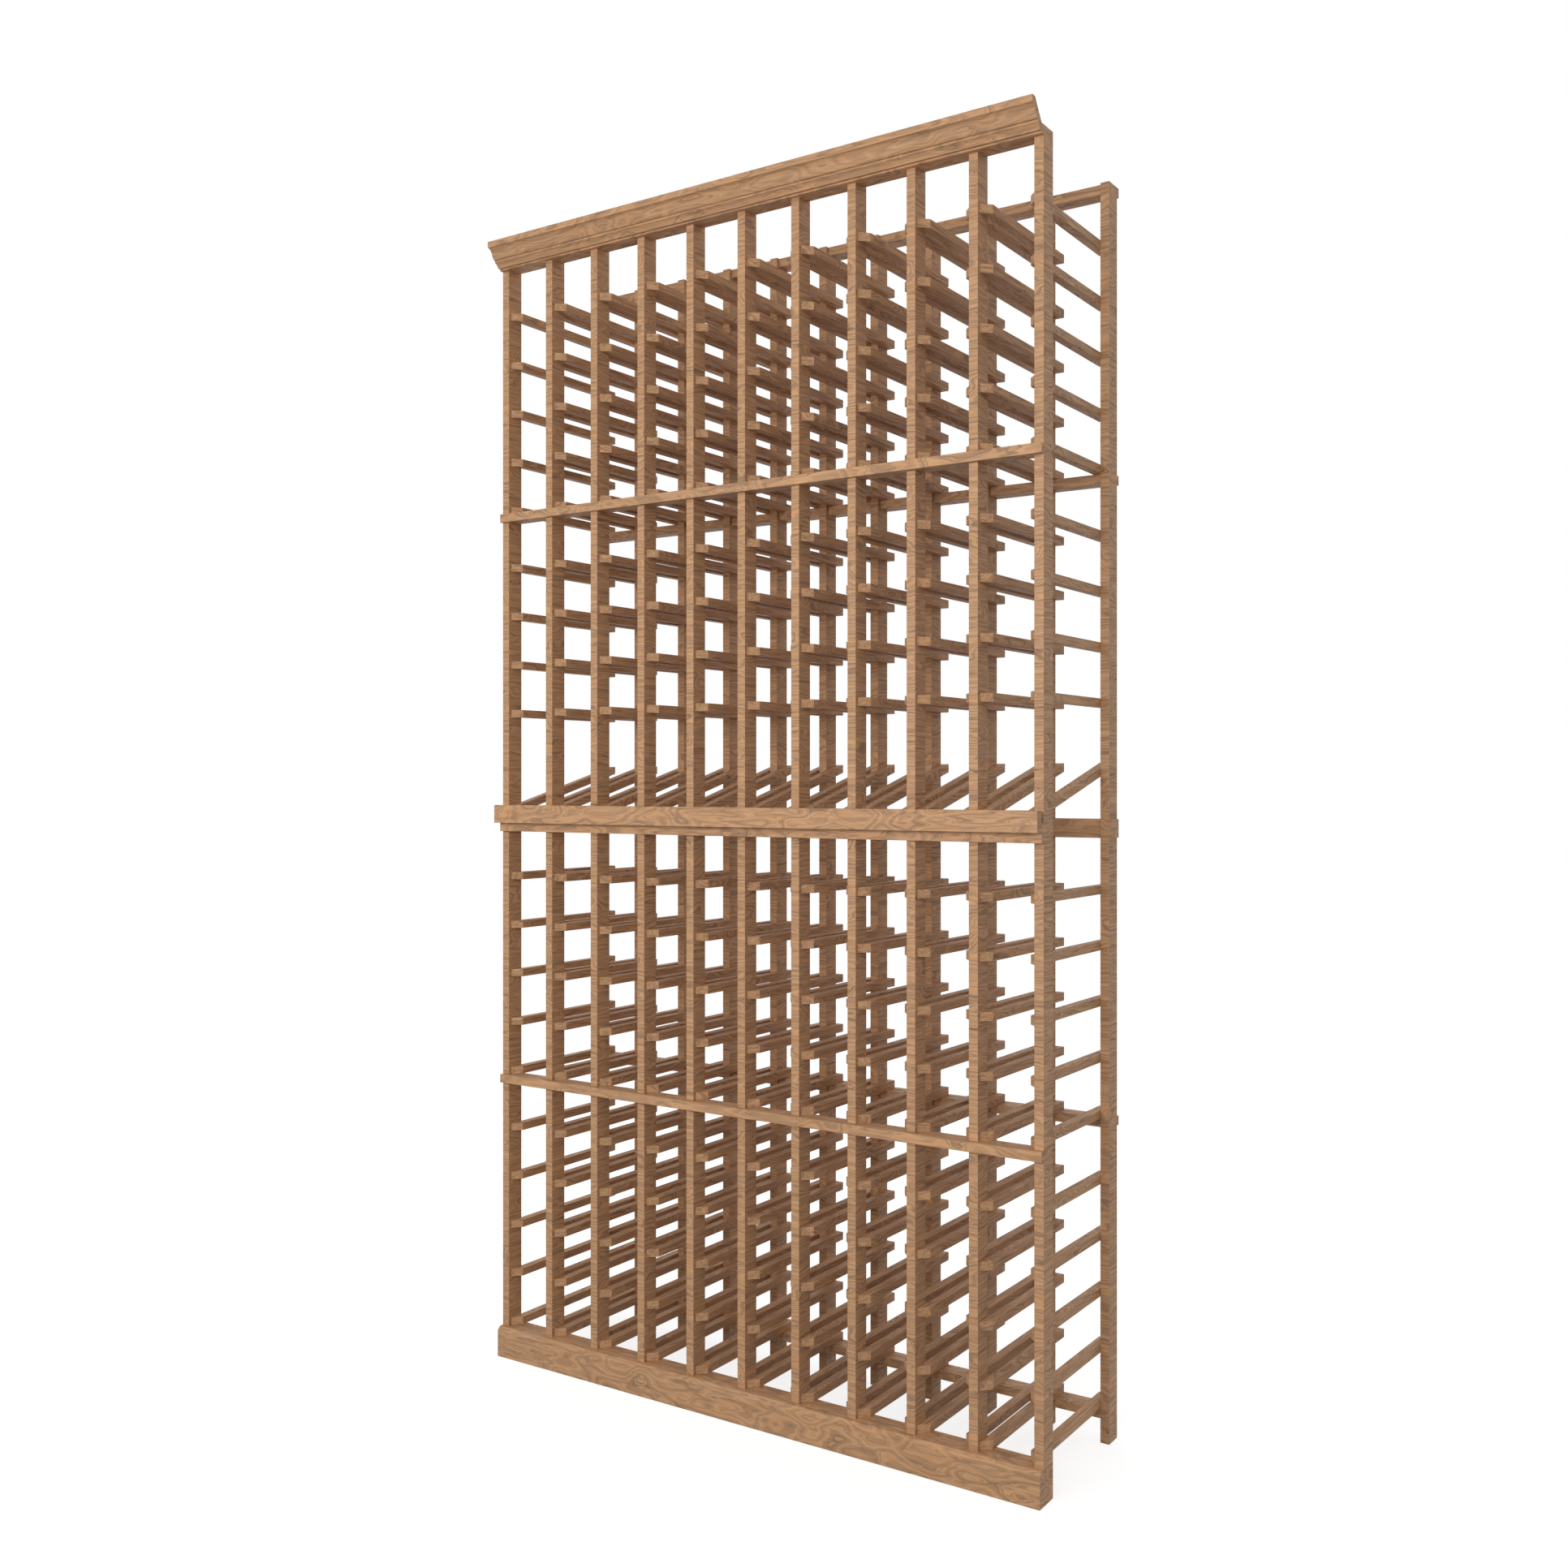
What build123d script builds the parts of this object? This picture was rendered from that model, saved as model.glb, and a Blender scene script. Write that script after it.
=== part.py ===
from build123d import *
import os
from math import cos, radians, tan

# A ten-column wooden wine rack. Eleven ladders, each a front post and a rear post joined by
# rails, stand side by side. Four levels of battens are let into notches in the posts and tie
# the ladders together. The front posts stand on a base beam, a crown moulding caps the front,
# and one level of sloping slats behind a lip shows its row tilted towards the viewer.
# Millimetres and degrees. X runs along the rack, +Y to the wall behind it, +Z up. The origin
# is on the floor, at the middle of the whole rack's width and depth.

# Columns and rows
columns = 10
column_pitch = 122.5
row_pitch = 103.2
bottom_rows = 5
lower_rows = 5
middle_rows = 4
top_rows = 5
display_rows = 2

# Posts, and the tongue that each notch leaves
rack_depth = 327.8
post_width = 17.5
post_depth = 38.1
post_tongue = 8.6
notch_clearance = 0.2

# Battens let into the posts, and the lip in front of the display battens
batten_thickness = 17.5
batten_proud = 8.6
display_batten_height = 34.9
lip_thickness = 17.5
lip_height = 37.5
lip_lap = 17.0

# Rails along both sides of each column, with a bevelled front end. The sloping slats of the
# display row are cut from the same stock.
rail_width = 17.5
rail_height = 15.9
rail_setback = 7.0
rail_bevel_angle = 45.0
slat_tilt = 15.0

# Base beam, and the dowels that hold the front posts on it
base_height = 62.2
base_proud = 15.8
base_chamfer = 7.0
dowel_diameter = 8.0
dowel_length = 40.0
dowel_in_base = 20.0
dowel_clearance = 0.2
dowel_end_gap = 1.0

# Sill under the rear posts, as high as the base, on a foot block for each post
sill_thickness = 17.5

# Crown moulding, out from the top batten's front edge and up from its underside
crown_projection = 36.5
crown_height = 51.6
crown_top_width = 10.2
crown_fillet = 12.3
crown_rise = 3.5
toe_out = 5.5
cove_hollow = 1.3
cove_ledge = 1.2
step_out = 15.5
step_up = 13.1
step_height = 4.6
step_ledge = 2.6
ogee_turn_out = 24.1
ogee_turn_up = 27.2
ogee_swell = 0.6
ogee_hollow = 2.8

# Limits of the rack that follow from those sizes
rack_width = columns * column_pitch + post_width
crown_overhang = batten_proud + crown_projection
overall_depth = crown_overhang + rack_depth + batten_proud
front_face = crown_overhang - overall_depth / 2
back_face = front_face + rack_depth
full_width = (-rack_width / 2, rack_width / 2)
front_post_faces = (front_face, front_face + post_depth)
rear_post_faces = (back_face - post_depth, back_face)
notch_depth = post_depth - post_tongue

# Heights of the sill's and the battens' undersides, and of the posts' tops
sill_level = base_height - sill_thickness
lower_level = base_height + bottom_rows * row_pitch
display_level = lower_level + batten_thickness + lower_rows * row_pitch
display_top = display_level + display_batten_height
upper_level = display_top + (display_rows + middle_rows) * row_pitch
top_level = upper_level + batten_thickness + top_rows * row_pitch
post_top = top_level + batten_thickness
batten_levels = {
    "lower": (lower_level, batten_thickness),
    "display": (display_level, display_batten_height),
    "upper": (upper_level, batten_thickness),
    "top": (top_level, batten_thickness),
}


def block(x_span, y_span, z_span):
    """A square-edged piece between two limits on each axis."""
    spans = (x_span, y_span, z_span)
    middle = [(low + high) / 2 for low, high in spans]
    size = [high - low for low, high in spans]
    return Pos(*middle) * Box(*size)


def save(name, solids):
    """Write one node. Like pieces share a node as separate solids."""
    export_step(Compound(solids), os.path.join("parts", name + ".step"))


def ladder_left(index):
    """Left face of the posts of ladder 0 to columns."""
    return index * column_pitch - rack_width / 2


def post_span(index):
    """Left and right faces of the posts of one ladder."""
    return (ladder_left(index), ladder_left(index) + post_width)


def notches(x_span, y_span):
    """The cuts that seat the battens of all levels in one post."""
    cuts = []
    for level, height in batten_levels.values():
        cuts.append(block(x_span, y_span, (level, level + height + notch_clearance)))
    return cuts


def dowel_place(index):
    """Middle of one front post's foot, on top of the base."""
    return Pos(ladder_left(index) + post_width / 2, front_face + post_depth / 2, base_height)


def peg(diameter, below, above):
    """A round peg or hole that reaches below and above the joint at its own origin."""
    return Pos(0, 0, (above - below) / 2) * Cylinder(diameter / 2, above + below)


def front_post(index):
    """A post on the base, notched in front for the battens and drilled for its dowel."""
    x_span = post_span(index)
    blank = block(x_span, front_post_faces, (base_height, post_top))
    hole_depth = dowel_length - dowel_in_base + dowel_end_gap
    hole = dowel_place(index) * peg(dowel_diameter + dowel_clearance, 0, hole_depth)
    return blank - notches(x_span, (front_face, front_face + notch_depth)) - hole


def rear_post(index):
    """A post on the sill, notched behind for the battens."""
    x_span = post_span(index)
    blank = block(x_span, rear_post_faces, (base_height, post_top))
    return blank - notches(x_span, (back_face - notch_depth, back_face))


def rear_sill():
    """A board laid flat under the rear posts, flush with their faces."""
    return block(full_width, rear_post_faces, (sill_level, base_height))


def rear_foot(index):
    """A block on the floor that carries the sill under one rear post."""
    return block(post_span(index), rear_post_faces, (0, sill_level))


def rail_levels():
    """Undersides of all rails, from the base to the top row."""
    stacks = [
        (base_height, bottom_rows),
        (lower_level + batten_thickness, lower_rows),
        (display_top + display_rows * row_pitch, middle_rows),
        (upper_level + batten_thickness, top_rows),
    ]
    return [start + row * row_pitch for start, rows in stacks for row in range(rows)]


def rail(wall, side):
    """A rail on a post's face at X = wall. It reaches into the bay on the given side, +1 or -1."""
    bay_edge = wall + side * rail_width
    nose = front_face + rail_setback
    shoulder = nose + rail_width / tan(radians(rail_bevel_angle))
    plan = Polyline(
        (wall, nose), (bay_edge, shoulder), (bay_edge, back_face), (wall, back_face), close=True
    )
    return extrude(make_face(plan), rail_height, dir=(0, 0, 1))


def rails(wall, side):
    """All rails on one face of one ladder."""
    one = rail(wall, side)
    return [Pos(0, 0, level) * one for level in rail_levels()]


def slat(wall, side):
    """A display slat on a post's face, from the display batten's top up to the rear post."""
    rise = rack_depth * tan(radians(slat_tilt))
    plumb_height = rail_height / cos(radians(slat_tilt))
    elevation = Plane.YZ * Polyline(
        (front_face, display_top),
        (back_face, display_top + rise),
        (back_face, display_top + rise + plumb_height),
        (front_face, display_top + plumb_height),
        close=True,
    )
    return Pos(wall, 0, 0) * extrude(make_face(elevation), rail_width, dir=(side, 0, 0))


def front_batten(level, height):
    """A batten let into the front posts, proud of their front faces."""
    y_span = (front_face - batten_proud, front_face + notch_depth)
    return block(full_width, y_span, (level, level + height))


def rear_batten(level, height):
    """A batten let into the rear posts, proud of their back faces."""
    y_span = (back_face - notch_depth, back_face + batten_proud)
    return block(full_width, y_span, (level, level + height))


def display_lip():
    """A board on edge in front of the display batten, which keeps the row from sliding off."""
    back = front_face - batten_proud
    foot = display_top - lip_lap
    return block(full_width, (back - lip_thickness, back), (foot, foot + lip_height))


def base_beam():
    """The beam under the front posts, with a chamfered front edge and a dowel hole for each post."""
    y_span = (front_face - base_proud, front_face + post_depth)
    beam = block(full_width, y_span, (0, base_height))
    front_edge = beam.edges().filter_by(Axis.X).group_by(Axis.Z)[-1].sort_by(Axis.Y)[0]
    beam = chamfer(front_edge, base_chamfer)
    hole = peg(dowel_diameter + dowel_clearance, dowel_in_base, 0)
    return beam - [dowel_place(index) * hole for index in range(columns + 1)]


def crown_profile():
    """Section of the crown: cove, step, ogee and top fillet, with a sloping back behind them."""

    def at(out, up):
        return (front_face - batten_proud - out, top_level + up)

    toe = at(toe_out, crown_rise)
    cove_head = at(step_out - cove_ledge, step_up)
    step_foot = at(step_out, step_up)
    step_head = at(step_out, step_up + step_height)
    ogee_foot = at(step_out + step_ledge, step_up + step_height)
    ogee_turn = at(ogee_turn_out, ogee_turn_up)
    fillet_foot = at(crown_projection, crown_height - crown_fillet)
    fillet_head = at(crown_projection, crown_height)
    back_head = at(crown_projection - crown_top_width, crown_height)
    back_bend = at(0, batten_thickness)
    back_foot = at(0, crown_rise)
    outline = [
        Line(back_foot, toe),
        SagittaArc(toe, cove_head, -cove_hollow),
        Polyline(cove_head, step_foot, step_head, ogee_foot),
        SagittaArc(ogee_foot, ogee_turn, ogee_swell),
        SagittaArc(ogee_turn, fillet_foot, -ogee_hollow),
        Polyline(fillet_foot, fillet_head, back_head, back_bend, back_foot),
    ]
    return Plane.YZ * make_face(Curve() + outline)


def crown_moulding():
    """The crown, square-cut at both ends of the rack."""
    return Pos(-rack_width / 2, 0, 0) * extrude(crown_profile(), rack_width, dir=(1, 0, 0))


def main():
    os.makedirs("parts", exist_ok=True)

    for ladder in range(columns + 1):
        save(f"front_post_{ladder + 1:02d}", front_post(ladder))
        save(f"rear_post_{ladder + 1:02d}", rear_post(ladder))

    left_slats = []
    right_slats = []
    for bay in range(columns):
        left_wall = post_span(bay)[1]
        right_wall = post_span(bay + 1)[0]
        save(f"rails_bay_{bay + 1:02d}_left", rails(left_wall, 1))
        save(f"rails_bay_{bay + 1:02d}_right", rails(right_wall, -1))
        left_slats.append(slat(left_wall, 1))
        right_slats.append(slat(right_wall, -1))
    save("display_slats_left", left_slats)
    save("display_slats_right", right_slats)

    for name, (level, height) in batten_levels.items():
        save(f"{name}_front_batten", front_batten(level, height))
        save(f"{name}_rear_batten", rear_batten(level, height))

    dowel = peg(dowel_diameter, dowel_in_base, dowel_length - dowel_in_base)
    save("base_dowels", [dowel_place(index) * dowel for index in range(columns + 1)])
    save("rear_feet", [rear_foot(index) for index in range(columns + 1)])
    save("rear_sill", rear_sill())
    save("display_lip", display_lip())
    save("base_beam", base_beam())
    save("crown_moulding", crown_moulding())


main()
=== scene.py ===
"""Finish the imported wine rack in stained, figured wood and set it in a plain white studio.

The frame brings every piece at its real size and place. This file eases the edges of the pieces,
gives each kind of piece its own cut of the wood, and makes the floor, the lights and the camera.
"""

import math

import bpy
from bpy.props import FloatProperty, FloatVectorProperty, PointerProperty
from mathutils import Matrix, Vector

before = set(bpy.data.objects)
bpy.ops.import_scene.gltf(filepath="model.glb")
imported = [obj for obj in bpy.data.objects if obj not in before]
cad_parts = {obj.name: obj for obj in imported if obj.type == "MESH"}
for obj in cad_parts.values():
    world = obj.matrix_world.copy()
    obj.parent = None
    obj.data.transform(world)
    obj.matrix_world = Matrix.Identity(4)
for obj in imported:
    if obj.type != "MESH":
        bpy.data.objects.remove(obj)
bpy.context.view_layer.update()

bl_info = {
    "name": "Wine Rack Finisher",
    "version": (1, 0, 0),
    "blender": (4, 5, 0),
    "location": "View3D > Sidebar > Wine Rack",
    "description": "Finishes a packed wine rack in stained wood and sets it in a plain studio",
    "category": "Object",
}

# Ladders and levels that the node names count
LADDERS = 11
BAYS = 10
LEVELS = ("lower", "display", "upper", "top")

# Corners nearer than this are one corner, edges flatter than this stay as they are, and the
# others are rounded in this many steps
CORNER_GAP = 0.00002
SHARP_EDGE = math.radians(35)
EDGE_SEGMENTS = 2

# Where in the plank each wood is sawn: along the grain, across the rings and into the plank
CUTS = {
    "front_post_wood": (0.31, 0.17, 0.05),
    "rear_post_wood": (1.47, 0.83, 0.36),
    "rail_wood": (0.77, 2.13, 0.71),
    "batten_wood": (2.61, 0.44, 1.9),
    "lip_wood": (3.3, 1.21, 0.62),
    "base_wood": (4.2, 1.7, 1.13),
    "dowel_wood": (0.2, 0.9, 2.4),
    "crown_wood": (5.1, 0.28, 2.7),
}

# Rings in a metre across the grain, rings that an island adds, how unevenly the straight rings are
# spaced, and how much of the wood has straight rings only
BOARD_GRAIN = {"Rings": 22.0, "Swirl": 2.8, "Weave": 5.0, "Straight": -0.06}
POST_GRAIN = {"Rings": 120.0, "Swirl": 4.2, "Weave": 3.6, "Straight": 0.08}
RAIL_GRAIN = {"Rings": 120.0, "Swirl": 4.2, "Weave": 4.0, "Straight": 0.07}

# A face has to look this much more sideways than forwards to count as a side
SIDE_BIAS = 1.05

# How much of a step sideways counts as one into the wood on the ends of the rails, and how much
# faster the figure changes into the wood than along it
RAIL_STEP = 0.2
INWARD_STEP = 5.0

# Noise in the wood: length along the grain, height across it, then detail and roughness. The size
# of the figure is a setting.
ZONE_NOISE = (0.30, 0.08)
DRIFT_NOISE = (0.18, 0.015, 1.5)
RIPPLE_NOISE = (0.014, 0.005, 2.0)
MOTTLE_NOISE = (0.05, 0.014, 2.0)
FIGURE_DETAIL = 1.2
FIGURE_ROUGHNESS = 0.42

# Values of the noise between which the zones, the islands and the honey mottle fade in
ZONE_FADE = (0.36, 0.54)
ISLAND_FADE = (0.33, 0.67)
MOTTLE_FADE = (0.36, 0.64)

# How far the rings are carried to both sides from one island to the next, as a share of Swirl
ISLAND_SWING = (-0.5, 0.5)

# How far straight rings weave where there are no islands, and how far all rings ripple
WEAVE_REACH = 1.3
RIPPLE_REACH = 0.22

# How dark one growth ring is along its way: open wood, two thin lines, then a dusky band
RING_STOPS = (
    (0.22, 0.0),
    (0.3, 0.85),
    (0.37, 0.1),
    (0.45, 0.15),
    (0.53, 1.0),
    (0.6, 0.7),
    (0.76, 0.62),
    (1.0, 0.0),
)
RING_DEPTH = 0.7

# Each ring has its own strength and its lines have their own places, from these least values up
LEAST_STRENGTH = 0.5
LEAST_SKEW = 0.6

# Fine lines between the rings: half their spacing as a share of a ring, where they fade in, and
# how dark they are
FINE_STEP = 0.15
FINE_FADE = (0.07, FINE_STEP)
FINE_DEPTH = 0.11

# Streaks, fibres and pores: their noise, the values between which they fade in, and how dark they are
MARKS = (
    ((0.06, 0.007, 3.0, 0.6), (0.36, 0.68), 0.22),
    ((0.03, 0.0009, 2.0), (0.3, 0.7), 0.10),
    ((0.005, 0.0004, 1.0), (0.62, 0.72), 0.16),
)

# The wood's sheen, from open wood to the darkest ring, and how far the open wood stands up
ROUGHNESS = (0.5, 0.68)
SPECULAR_LEVEL = 0.3
RELIEF_HEIGHT = 0.0003
RELIEF_STRENGTH = 0.25

# Painted shade in the inner corners of the crown, where its own ambient occlusion is deep: how
# far it reaches out of a corner, how open the place is where it is darkest and where it ends, and
# how dark it is
CORNER_REACH = 0.0025
CORNER_FADE = (0.5, 0.95)
CROWN_CORNER_SHADE = 0.7

# White light, how far the floor lies under the rack, the floor's own glow, and the camera's sensor
WHITE = (1.0, 1.0, 1.0, 1.0)
FLOOR_GAP = 0.0002
FLOOR_GLOW = 0.8
SENSOR_WIDTH = 36.0


class WoodSettings(bpy.types.PropertyGroup):
    """The stain and the figure of the wood, and how far its edges are eased."""

    pale_tone: FloatVectorProperty(
        name="Pale tone",
        description="Open wood between the growth rings",
        subtype="COLOR",
        size=3,
        min=0.0,
        max=1.0,
        default=(0.66, 0.373, 0.191),
    )
    honey_tone: FloatVectorProperty(
        name="Honey tone",
        description="Open wood where the stain has taken a yellower tint",
        subtype="COLOR",
        size=3,
        min=0.0,
        max=1.0,
        default=(0.653, 0.359, 0.174),
    )
    ring_tone: FloatVectorProperty(
        name="Ring tone",
        description="Dense wood at the end of each growth ring",
        subtype="COLOR",
        size=3,
        min=0.0,
        max=1.0,
        default=(0.2, 0.124, 0.08),
    )
    dowel_tone: FloatVectorProperty(
        name="Dowel tone",
        description="Bare beech of the dowels",
        subtype="COLOR",
        size=3,
        min=0.0,
        max=1.0,
        default=(0.6, 0.45, 0.29),
    )
    dowel_ring_tone: FloatVectorProperty(
        name="Dowel ring tone",
        description="Growth rings of the dowels",
        subtype="COLOR",
        size=3,
        min=0.0,
        max=1.0,
        default=(0.42, 0.29, 0.17),
    )
    figure_length: FloatProperty(
        name="Figure length",
        description="Length of the islands and swirls along the grain",
        default=0.1,
        min=0.005,
        unit="LENGTH",
    )
    figure_height: FloatProperty(
        name="Figure height",
        description="Height of the islands and swirls across the grain",
        default=0.048,
        min=0.005,
        unit="LENGTH",
    )
    edge_radius: FloatProperty(
        name="Edge radius",
        description="Rounding that sanding leaves on the square edges",
        default=0.0006,
        min=0.0,
        unit="LENGTH",
    )
    moulding_radius: FloatProperty(
        name="Moulding edge radius",
        description="Rounding of the fine edges along the crown",
        default=0.00025,
        min=0.0,
        unit="LENGTH",
    )


class StudioSettings(bpy.types.PropertyGroup):
    """Where the camera and the softboxes stand, and how bright the room is."""

    camera_place: FloatVectorProperty(
        name="Camera place",
        description="Where the camera stands, from the middle of the rack's foot",
        subtype="TRANSLATION",
        unit="LENGTH",
        size=3,
        default=(1.68105, -2.51445, 1.2114),
    )
    camera_turn: FloatProperty(
        name="Camera turn",
        description="How far the level camera is turned from straight at the rack's front",
        default=math.radians(33.757),
        subtype="ANGLE",
        unit="ROTATION",
    )
    camera_lens: FloatProperty(
        name="Camera lens",
        description="Focal length on a 36 mm wide sensor",
        default=35.069,
        min=1.0,
        unit="CAMERA",
    )
    softbox_turn: FloatProperty(
        name="Softbox turn",
        description="How far the front softbox stands round to the right of the rack's front",
        default=math.radians(4),
        subtype="ANGLE",
        unit="ROTATION",
    )
    fill_turn: FloatProperty(
        name="Fill turn",
        description="How far the fill softbox stands round from the rack's front, behind it and left",
        default=math.radians(205),
        subtype="ANGLE",
        unit="ROTATION",
    )
    softbox_distance: FloatProperty(
        name="Softbox distance",
        description="Distance of both softboxes from the middle of the rack",
        default=3.2,
        min=0.5,
        unit="LENGTH",
    )
    softbox_height: FloatProperty(
        name="Softbox height",
        description="Height of the softboxes' middles above the floor",
        default=1.8,
        unit="LENGTH",
    )
    softbox_width: FloatProperty(
        name="Softbox width",
        description="Width of the softboxes",
        default=3.6,
        min=0.1,
        unit="LENGTH",
    )
    softbox_rise: FloatProperty(
        name="Softbox rise",
        description="Height of the softboxes from the lower to the upper edge",
        default=1.2,
        min=0.1,
        unit="LENGTH",
    )
    softbox_power: FloatProperty(
        name="Softbox power",
        description="Light that the front softbox gives",
        default=64.0,
        min=0.0,
        unit="POWER",
    )
    fill_power: FloatProperty(
        name="Fill power",
        description="Light that the fill softbox gives",
        default=26.0,
        min=0.0,
        unit="POWER",
    )
    room_light: FloatProperty(
        name="Room light",
        description="Even light from all round, as a share of white",
        default=0.565,
        min=0.0,
        max=1.0,
        subtype="FACTOR",
    )
    floor_size: FloatProperty(
        name="Floor size",
        description="Side of the square floor",
        default=60.0,
        min=1.0,
        unit="LENGTH",
    )
    floor_tone: FloatVectorProperty(
        name="Floor tone",
        description="Colour of the floor",
        subtype="COLOR",
        size=3,
        min=0.0,
        max=1.0,
        default=(0.35, 0.35, 0.35),
    )


def add_node(tree, kind, inputs=None, **options):
    """Add a node, set its options, and set or link its inputs."""
    made = tree.nodes.new(kind)
    for name, value in options.items():
        setattr(made, name, value)
    for name, value in (inputs or {}).items():
        if isinstance(value, bpy.types.NodeSocket):
            tree.links.new(value, made.inputs[name])
        else:
            made.inputs[name].default_value = value
    return made


def maths(tree, operation, *values):
    """The result of one sum on numbers or sockets."""
    return add_node(tree, "ShaderNodeMath", dict(enumerate(values)), operation=operation).outputs[0]


def choose(tree, share, first, second):
    """The first value where share is 0, and the second where it is 1."""
    # Sockets 2 and 3 of a Mix node take numbers
    chosen = add_node(tree, "ShaderNodeMix", {0: share, 2: first, 3: second}, data_type="FLOAT")
    return chosen.outputs[0]


def blend_tone(tree, share, first, second):
    """The first colour where share is 0, and the second where it is 1."""
    # Sockets 6 and 7 of a Mix node take colours, and output 2 gives one
    given = {0: share, 6: first, 7: second}
    blended = add_node(tree, "ShaderNodeMix", given, data_type="RGBA", clamp_factor=True)
    return blended.outputs[2]


def ramp(tree, value, low, high, start=0.0, end=1.0):
    """Carry a value smoothly from start to end while it goes from low to high."""
    names = ("Value", "From Min", "From Max", "To Min", "To Max")
    given = dict(zip(names, (value, low, high, start, end)))
    made = add_node(tree, "ShaderNodeMapRange", given, interpolation_type="SMOOTHSTEP")
    return made.outputs["Result"]


def cloud(tree, place, length, height, detail=0.0, roughness=0.5):
    """Noise drawn out along the grain: length along it, height across it and into the wood."""
    stretch = (1 / length, 1 / height, 1 / height)
    spot = add_node(tree, "ShaderNodeVectorMath", {0: place, 1: stretch}, operation="MULTIPLY")
    given = {"Vector": spot.outputs[0], "Scale": 1.0, "Detail": detail, "Roughness": roughness}
    return add_node(tree, "ShaderNodeTexNoise", given).outputs["Fac"]


def swing(tree, place, *noise):
    """Noise that goes to both sides of 0."""
    return maths(tree, "SUBTRACT", cloud(tree, place, *noise), 0.5)


def ring_depth(tree, share):
    """How dark the wood is at a share of the way through one growth ring."""
    made = add_node(tree, "ShaderNodeValToRGB", {"Fac": share})
    stops = made.color_ramp.elements
    for place, depth in RING_STOPS:
        stop = stops[-1] if place == 1.0 else stops.new(place)
        stop.position = place
        stop.color = (depth, depth, depth, 1.0)
    return made.outputs["Color"]


def new_group(name, inputs, outputs):
    """Start a shader node group with named sockets, given as pairs of kind and name."""
    tree = bpy.data.node_groups.new(name, "ShaderNodeTree")
    for kind, label in inputs:
        tree.interface.new_socket(name=label, in_out="INPUT", socket_type=kind)
    for kind, label in outputs:
        tree.interface.new_socket(name=label, in_out="OUTPUT", socket_type=kind)
    given = tree.nodes.new("NodeGroupInput")
    made = tree.nodes.new("NodeGroupOutput")
    return tree, given, made


def sawn_faces_group():
    """Group that lays the grain on each sawn face: X along it, Y across the rings, Z into the wood."""
    name = "Sawn faces"
    if name in bpy.data.node_groups:
        return bpy.data.node_groups[name]
    tree, given, made = new_group(
        name,
        [("NodeSocketFloat", "Lengthwise in depth"), ("NodeSocketFloat", "Roll over")],
        [("NodeSocketVector", "Grain")],
    )
    lengthwise = given.outputs["Lengthwise in depth"]
    place = add_node(tree, "ShaderNodeTexCoord")
    spot = add_node(tree, "ShaderNodeSeparateXYZ", {0: place.outputs["Object"]})
    facing = add_node(tree, "ShaderNodeVectorMath", {0: place.outputs["Normal"]}, operation="ABSOLUTE")
    faces = add_node(tree, "ShaderNodeSeparateXYZ", {0: facing.outputs[0]})
    x, y, z = spot.outputs
    face_x, face_y, face_z = faces.outputs

    # A face cut at 45 degrees between side and front counts as a front
    front_or_flat = maths(tree, "MAXIMUM", maths(tree, "MULTIPLY", face_y, SIDE_BIAS), face_z)
    side = maths(tree, "GREATER_THAN", face_x, front_or_flat)
    flat = maths(tree, "GREATER_THAN", face_z, maths(tree, "MAXIMUM", face_x, face_y))
    rail_top = maths(tree, "MULTIPLY", flat, lengthwise)
    in_depth = maths(tree, "MAXIMUM", side, lengthwise)

    # Along a board the figure rolls on over its front edges from one face to the next
    roll = choose(tree, side, given.outputs["Roll over"], 0.0)
    across = choose(tree, rail_top, maths(tree, "MULTIPLY_ADD", y, roll, z), x)
    along = choose(tree, in_depth, x, y)
    sideways = choose(tree, side, maths(tree, "MULTIPLY", lengthwise, RAIL_STEP), 1.0)
    inward = choose(tree, rail_top, maths(tree, "MULTIPLY", x, sideways), z)
    inward = maths(tree, "MULTIPLY", inward, INWARD_STEP)
    grain = add_node(tree, "ShaderNodeCombineXYZ", {0: along, 1: across, 2: inward})
    tree.links.new(grain.outputs[0], made.inputs["Grain"])
    return tree


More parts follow.
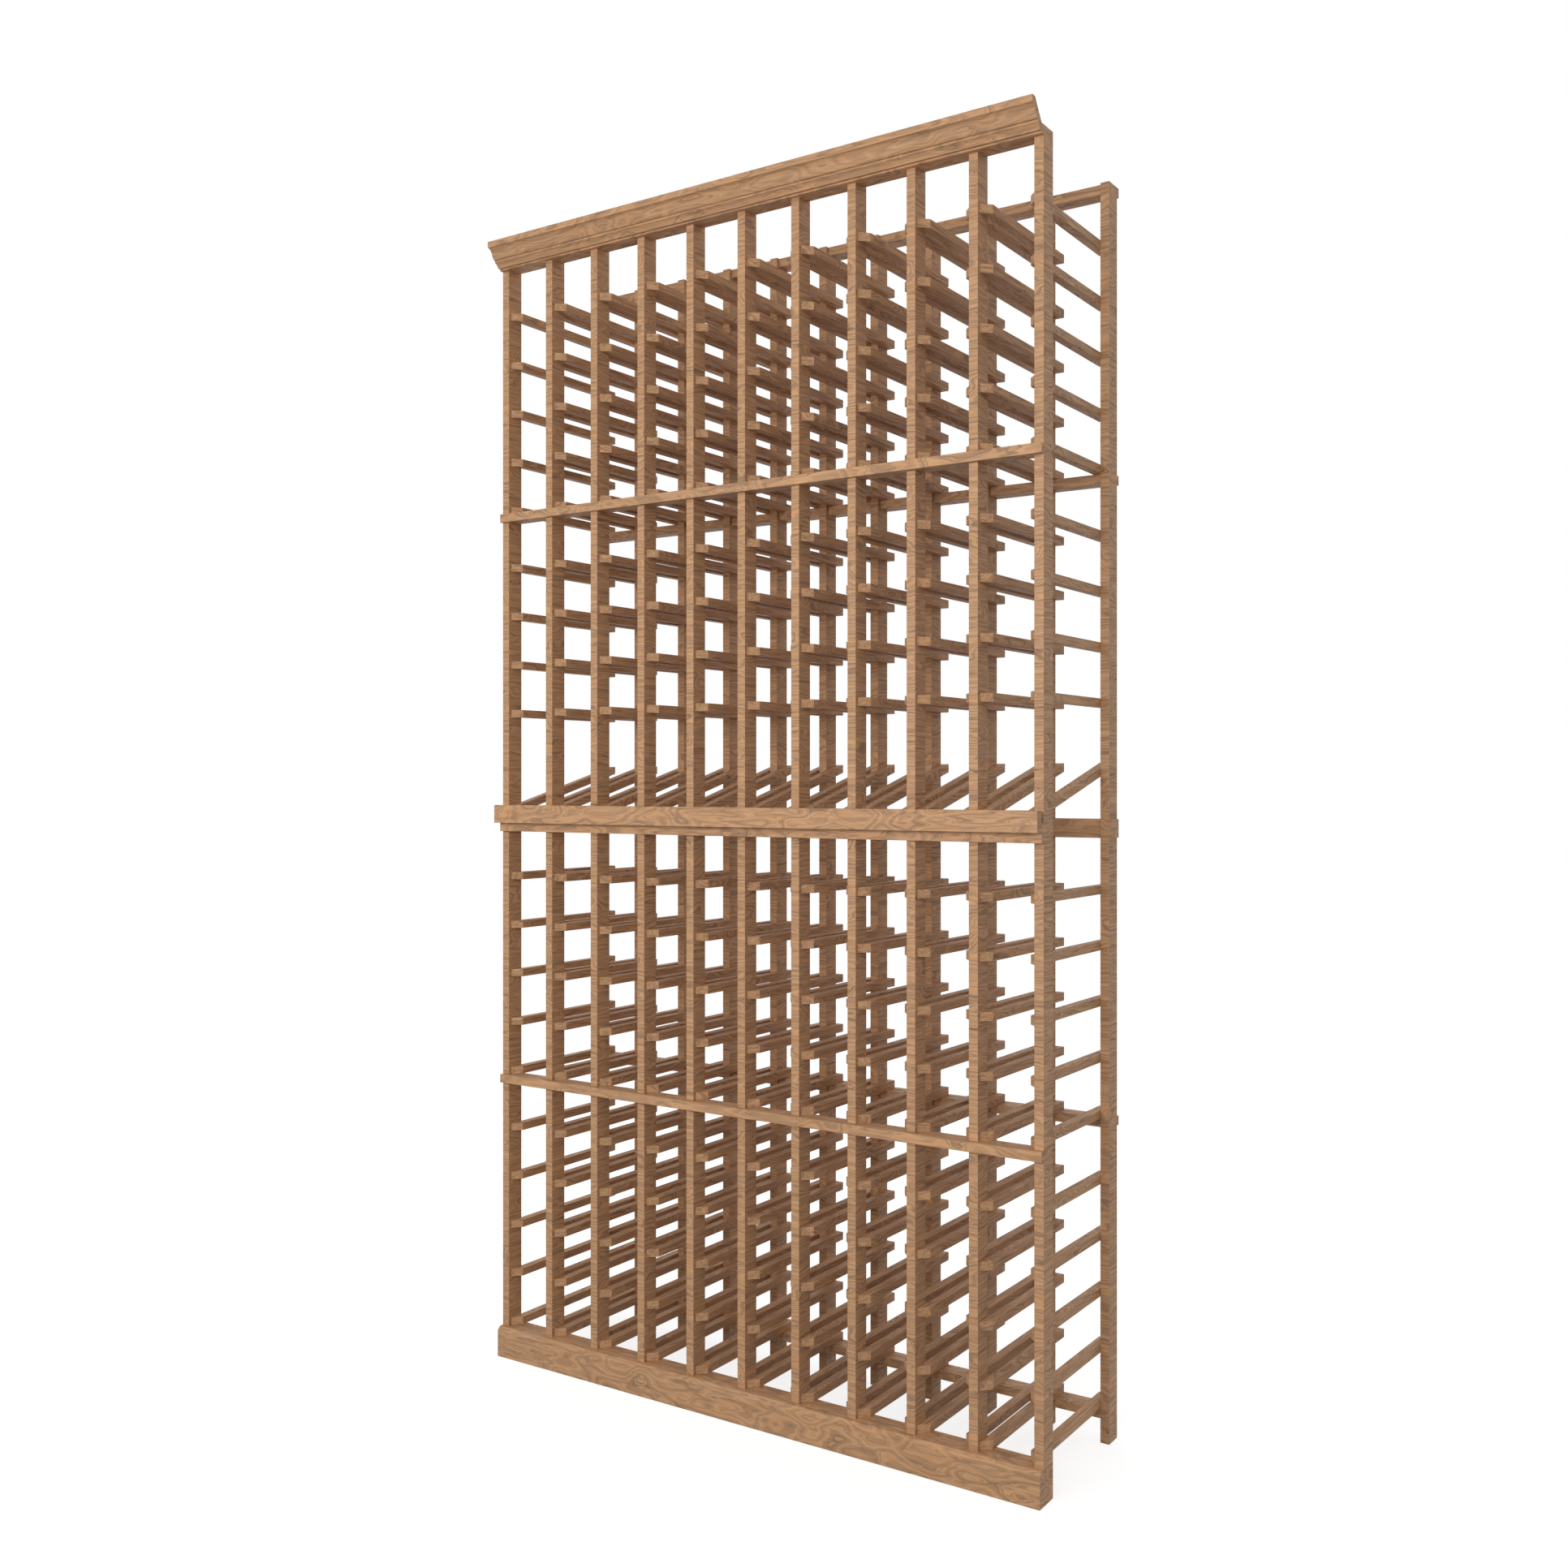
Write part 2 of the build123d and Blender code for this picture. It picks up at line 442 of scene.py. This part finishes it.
def figured_wood_group(wood):
    """Group that draws growth rings with islands and swirls, fibres and pores along the grain."""
    name = "Figured wood"
    if name in bpy.data.node_groups:
        return bpy.data.node_groups[name]
    tree, given, made = new_group(
        name,
        [
            ("NodeSocketVector", "Grain"),
            ("NodeSocketVector", "Cut"),
            ("NodeSocketFloat", "Rings"),
            ("NodeSocketFloat", "Swirl"),
            ("NodeSocketFloat", "Weave"),
            ("NodeSocketFloat", "Straight"),
            ("NodeSocketColor", "Pale"),
            ("NodeSocketColor", "Honey"),
            ("NodeSocketColor", "Ring"),
        ],
        [("NodeSocketColor", "Color"), ("NodeSocketFloat", "Roughness"), ("NodeSocketFloat", "Height")],
    )
    sawn = {0: given.outputs["Grain"], 1: given.outputs["Cut"]}
    place = add_node(tree, "ShaderNodeVectorMath", sawn, operation="ADD").outputs[0]
    across = add_node(tree, "ShaderNodeSeparateXYZ", {0: place}).outputs["Y"]

    # Rings bunch round calm islands in some zones and run on straight, unevenly spaced, in the others
    spread = maths(tree, "SUBTRACT", cloud(tree, place, *ZONE_NOISE), given.outputs["Straight"])
    zones = ramp(tree, spread, *ZONE_FADE)
    figure_size = (wood.figure_length, wood.figure_height)
    figure = cloud(tree, place, *figure_size, FIGURE_DETAIL, FIGURE_ROUGHNESS)
    islands = ramp(tree, figure, *ISLAND_FADE, *ISLAND_SWING)
    loops = maths(tree, "MULTIPLY", maths(tree, "MULTIPLY", islands, zones), given.outputs["Swirl"])
    drift = swing(tree, place, *DRIFT_NOISE)
    plain = maths(tree, "SUBTRACT", WEAVE_REACH, zones)
    waves = maths(tree, "MULTIPLY", maths(tree, "MULTIPLY", drift, plain), given.outputs["Weave"])
    ripple = swing(tree, place, *RIPPLE_NOISE)
    phase = maths(tree, "MULTIPLY_ADD", across, given.outputs["Rings"], loops)
    phase = maths(tree, "MULTIPLY_ADD", ripple, RIPPLE_REACH, maths(tree, "ADD", phase, waves))

    # Each ring goes from open wood over two thin lines to a dusky band, with a strength and places of
    # its own, and fine lines follow it
    count = {"W": maths(tree, "FLOOR", phase)}
    drawn = add_node(tree, "ShaderNodeTexWhiteNoise", count, noise_dimensions="1D")
    chance = add_node(tree, "ShaderNodeSeparateColor", {0: drawn.outputs["Color"]})
    skew = maths(tree, "ADD", chance.outputs[0], LEAST_SKEW)
    ring = maths(tree, "POWER", maths(tree, "FRACT", phase), skew)
    strength = maths(tree, "MULTIPLY_ADD", chance.outputs[1], 1.0 - LEAST_STRENGTH, LEAST_STRENGTH)
    line = maths(tree, "MULTIPLY", ring_depth(tree, ring), strength)
    fine = ramp(tree, maths(tree, "PINGPONG", phase, FINE_STEP), *FINE_FADE)

    depth = maths(tree, "MULTIPLY", line, RING_DEPTH)
    depth = maths(tree, "MULTIPLY_ADD", fine, FINE_DEPTH, depth)
    for noise, fade, darkness in MARKS:
        mark = ramp(tree, cloud(tree, place, *noise), *fade)
        depth = maths(tree, "MULTIPLY_ADD", mark, darkness, depth)
    mottle = ramp(tree, cloud(tree, place, *MOTTLE_NOISE), *MOTTLE_FADE)
    stain = blend_tone(tree, mottle, given.outputs["Pale"], given.outputs["Honey"])
    tone = blend_tone(tree, depth, stain, given.outputs["Ring"])
    tree.links.new(tone, made.inputs["Color"])
    tree.links.new(ramp(tree, depth, 0.0, 1.0, *ROUGHNESS), made.inputs["Roughness"])
    tree.links.new(maths(tree, "SUBTRACT", 1.0, depth), made.inputs["Height"])
    return tree


def wood_material(name, grain=BOARD_GRAIN, roll=1.0, lengthwise=0.0, tones=None, corner_shade=0.0):
    """Wood for one kind of piece, sawn from its own place in the plank. Stained unless given tones.

    The figure moves up by roll for each step back, so that it goes on over the front edges, and
    lengthwise is 1 for pieces that run from front to back. Above 0, the last argument paints shade
    into the inner corners of the piece, towards the ring tone where its own ambient occlusion is deep.
    """
    wood = bpy.context.scene.wine_rack_wood
    pale, honey, ring = tones or (wood.pale_tone, wood.honey_tone, wood.ring_tone)
    material = bpy.data.materials.new(name)
    material.use_nodes = True
    tree = material.node_tree
    shader = tree.nodes["Principled BSDF"]
    laid = {"Lengthwise in depth": lengthwise, "Roll over": roll}
    faces = add_node(tree, "ShaderNodeGroup", laid, node_tree=sawn_faces_group())
    drawn = {
        "Grain": faces.outputs["Grain"],
        "Cut": CUTS[name],
        **grain,
        "Pale": (*pale, 1.0),
        "Honey": (*honey, 1.0),
        "Ring": (*ring, 1.0),
    }
    figure = add_node(tree, "ShaderNodeGroup", drawn, node_tree=figured_wood_group(wood))
    raised = {
        "Strength": RELIEF_STRENGTH,
        "Distance": RELIEF_HEIGHT,
        "Height": figure.outputs["Height"],
    }
    relief = add_node(tree, "ShaderNodeBump", raised)
    tone = figure.outputs["Color"]
    # Painted shade: the wood darkens towards the ring tone in the inner corners, where the piece's own
    # ambient occlusion is deep
    if corner_shade:
        reach = {"Distance": CORNER_REACH}
        corners = add_node(tree, "ShaderNodeAmbientOcclusion", reach, only_local=True)
        painted_shade = ramp(tree, corners.outputs["AO"], *CORNER_FADE, corner_shade, 0.0)
        tone = blend_tone(tree, painted_shade, tone, (*ring, 1.0))
    tree.links.new(tone, shader.inputs["Base Color"])
    tree.links.new(figure.outputs["Roughness"], shader.inputs["Roughness"])
    tree.links.new(relief.outputs["Normal"], shader.inputs["Normal"])
    shader.inputs["Specular IOR Level"].default_value = SPECULAR_LEVEL
    return material


def finish_piece(name, material, radius):
    """Give one node its wood, and round its square edges as sanding does."""
    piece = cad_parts[name]
    if not piece.material_slots:
        raise RuntimeError(f"{name} has no material slot to finish")
    for slot in piece.material_slots:
        slot.material = material
    weld = piece.modifiers.new("Joined corners", "WELD")
    weld.merge_threshold = CORNER_GAP
    bevel = piece.modifiers.new("Eased edges", "BEVEL")
    bevel.width = radius
    bevel.segments = EDGE_SEGMENTS
    bevel.limit_method = "ANGLE"
    bevel.angle_limit = SHARP_EDGE
    bevel.use_clamp_overlap = False
    bevel.harden_normals = True


class FinishPosts(bpy.types.Operator):
    """Finish the front and rear posts and the rear feet"""

    bl_idname = "wine_rack.finish_posts"
    bl_label = "Finish Posts"

    def execute(self, context):
        radius = context.scene.wine_rack_wood.edge_radius
        front = wood_material("front_post_wood", POST_GRAIN)
        rear = wood_material("rear_post_wood", POST_GRAIN)
        for ladder in range(1, LADDERS + 1):
            finish_piece(f"front_post_{ladder:02d}", front, radius)
            finish_piece(f"rear_post_{ladder:02d}", rear, radius)
        finish_piece("rear_feet", rear, radius)
        return {"FINISHED"}


class FinishRails(bpy.types.Operator):
    """Finish the rails of every bay and the slats of the display row"""

    bl_idname = "wine_rack.finish_rails"
    bl_label = "Finish Rails"

    def execute(self, context):
        radius = context.scene.wine_rack_wood.edge_radius
        wood = wood_material("rail_wood", RAIL_GRAIN, roll=0.0, lengthwise=1.0)
        for side in ("left", "right"):
            for bay in range(1, BAYS + 1):
                finish_piece(f"rails_bay_{bay:02d}_{side}", wood, radius)
            finish_piece(f"display_slats_{side}", wood, radius)
        return {"FINISHED"}


class FinishBattens(bpy.types.Operator):
    """Finish the battens of every level, the rear sill and the display lip"""

    bl_idname = "wine_rack.finish_battens"
    bl_label = "Finish Battens"

    def execute(self, context):
        radius = context.scene.wine_rack_wood.edge_radius
        wood = wood_material("batten_wood")
        for level in LEVELS:
            finish_piece(f"{level}_front_batten", wood, radius)
            finish_piece(f"{level}_rear_batten", wood, radius)
        finish_piece("rear_sill", wood, radius)
        finish_piece("display_lip", wood_material("lip_wood"), radius)
        return {"FINISHED"}


class FinishBase(bpy.types.Operator):
    """Finish the base beam and its dowels"""

    bl_idname = "wine_rack.finish_base"
    bl_label = "Finish Base"

    def execute(self, context):
        settings = context.scene.wine_rack_wood
        beech = (settings.dowel_tone, settings.dowel_tone, settings.dowel_ring_tone)
        radius = settings.edge_radius
        finish_piece("base_beam", wood_material("base_wood"), radius)
        finish_piece("base_dowels", wood_material("dowel_wood", tones=beech), radius)
        return {"FINISHED"}


class FinishCrown(bpy.types.Operator):
    """Finish the crown moulding"""

    bl_idname = "wine_rack.finish_crown"
    bl_label = "Finish Crown"

    def execute(self, context):
        radius = context.scene.wine_rack_wood.moulding_radius
        # The crown's wood gets painted shade in its inner corners
        wood = wood_material("crown_wood", roll=-1.0, corner_shade=CROWN_CORNER_SHADE)
        finish_piece("crown_moulding", wood, radius)
        return {"FINISHED"}


def seen_directly(tree):
    """1 for what the camera, a reflection or a pane sees, and 0 for light on its way to a surface."""
    path = add_node(tree, "ShaderNodeLightPath")
    seen = maths(tree, "MAXIMUM", path.outputs["Is Camera Ray"], path.outputs["Is Glossy Ray"])
    return maths(tree, "MAXIMUM", seen, path.outputs["Is Transmission Ray"])


def white_room(studio):
    """A white backdrop all round that lights the rack evenly."""
    world = bpy.data.worlds.new("White room")
    world.use_nodes = True
    tree = world.node_tree
    strength = choose(tree, seen_directly(tree), studio.room_light, 1.0)
    background = tree.nodes["Background"]
    background.inputs["Color"].default_value = WHITE
    tree.links.new(strength, background.inputs["Strength"])
    bpy.context.scene.world = world


def white_floor(studio):
    """A pale floor that melts into the backdrop and keeps a soft shadow."""
    bpy.ops.mesh.primitive_plane_add(size=studio.floor_size, location=(0.0, 0.0, -FLOOR_GAP))
    floor = bpy.context.object
    floor.name = "studio_floor"
    material = bpy.data.materials.new("studio_floor")
    material.use_nodes = True
    tree = material.node_tree
    shader = tree.nodes["Principled BSDF"]
    shader.inputs["Base Color"].default_value = (*studio.floor_tone, 1.0)
    shader.inputs["Roughness"].default_value = 1.0
    shader.inputs["Specular IOR Level"].default_value = 0.0
    shader.inputs["Emission Color"].default_value = WHITE
    glow = maths(tree, "MULTIPLY", seen_directly(tree), FLOOR_GLOW)
    tree.links.new(glow, shader.inputs["Emission Strength"])
    floor.data.materials.append(material)


def softbox(studio, name, turn, power):
    """A large soft light that faces the rack, turned round it from its front."""
    light = bpy.data.lights.new(name, "AREA")
    light.shape = "RECTANGLE"
    light.size = studio.softbox_width
    light.size_y = studio.softbox_rise
    light.energy = power
    box = bpy.data.objects.new(name, light)
    out = Vector((math.sin(turn), -math.cos(turn), 0.0))
    box.location = out * studio.softbox_distance + Vector((0.0, 0.0, studio.softbox_height))
    box.rotation_euler = (-out).to_track_quat("-Z", "Y").to_euler()
    bpy.context.scene.collection.objects.link(box)
    return box


def level_camera(studio):
    """The camera, level and turned towards the rack."""
    lens = bpy.data.cameras.new("Camera")
    lens.sensor_width = SENSOR_WIDTH
    lens.lens = studio.camera_lens
    camera = bpy.data.objects.new("Camera", lens)
    camera.location = studio.camera_place
    camera.rotation_euler = (math.radians(90), 0.0, studio.camera_turn)
    bpy.context.scene.collection.objects.link(camera)
    bpy.context.scene.camera = camera


class SetStage(bpy.types.Operator):
    """Make the white room, the floor, the softboxes and the camera"""

    bl_idname = "wine_rack.set_stage"
    bl_label = "Set Stage"

    def execute(self, context):
        studio = context.scene.wine_rack_studio
        context.scene.view_settings.view_transform = "Standard"
        white_room(studio)
        white_floor(studio)
        softbox(studio, "Softbox", studio.softbox_turn, studio.softbox_power)
        fill = softbox(studio, "Fill", studio.fill_turn, studio.fill_power)
        fill.visible_glossy = False
        level_camera(studio)
        return {"FINISHED"}


class WineRackPanel(bpy.types.Panel):
    """Sizes and colours of the wood and the studio, and the steps that use them"""

    bl_idname = "VIEW3D_PT_wine_rack"
    bl_label = "Wine Rack"
    bl_space_type = "VIEW_3D"
    bl_region_type = "UI"
    bl_category = "Wine Rack"

    def draw(self, context):
        layout = self.layout
        for settings in (context.scene.wine_rack_wood, context.scene.wine_rack_studio):
            for name in settings.__annotations__:
                layout.prop(settings, name)
        for step in STEPS:
            layout.operator(step.bl_idname)


STEPS = (FinishPosts, FinishRails, FinishBattens, FinishBase, FinishCrown, SetStage)
CLASSES = (WoodSettings, StudioSettings, *STEPS, WineRackPanel)


def register():
    for each in CLASSES:
        bpy.utils.register_class(each)
    bpy.types.Scene.wine_rack_wood = PointerProperty(type=WoodSettings)
    bpy.types.Scene.wine_rack_studio = PointerProperty(type=StudioSettings)


def unregister():
    del bpy.types.Scene.wine_rack_studio
    del bpy.types.Scene.wine_rack_wood
    for each in reversed(CLASSES):
        bpy.utils.unregister_class(each)


def main():
    register()
    bpy.ops.wine_rack.finish_posts()
    bpy.ops.wine_rack.finish_rails()
    bpy.ops.wine_rack.finish_battens()
    bpy.ops.wine_rack.finish_base()
    bpy.ops.wine_rack.finish_crown()
    bpy.ops.wine_rack.set_stage()


if __name__ == "__main__":
    main()
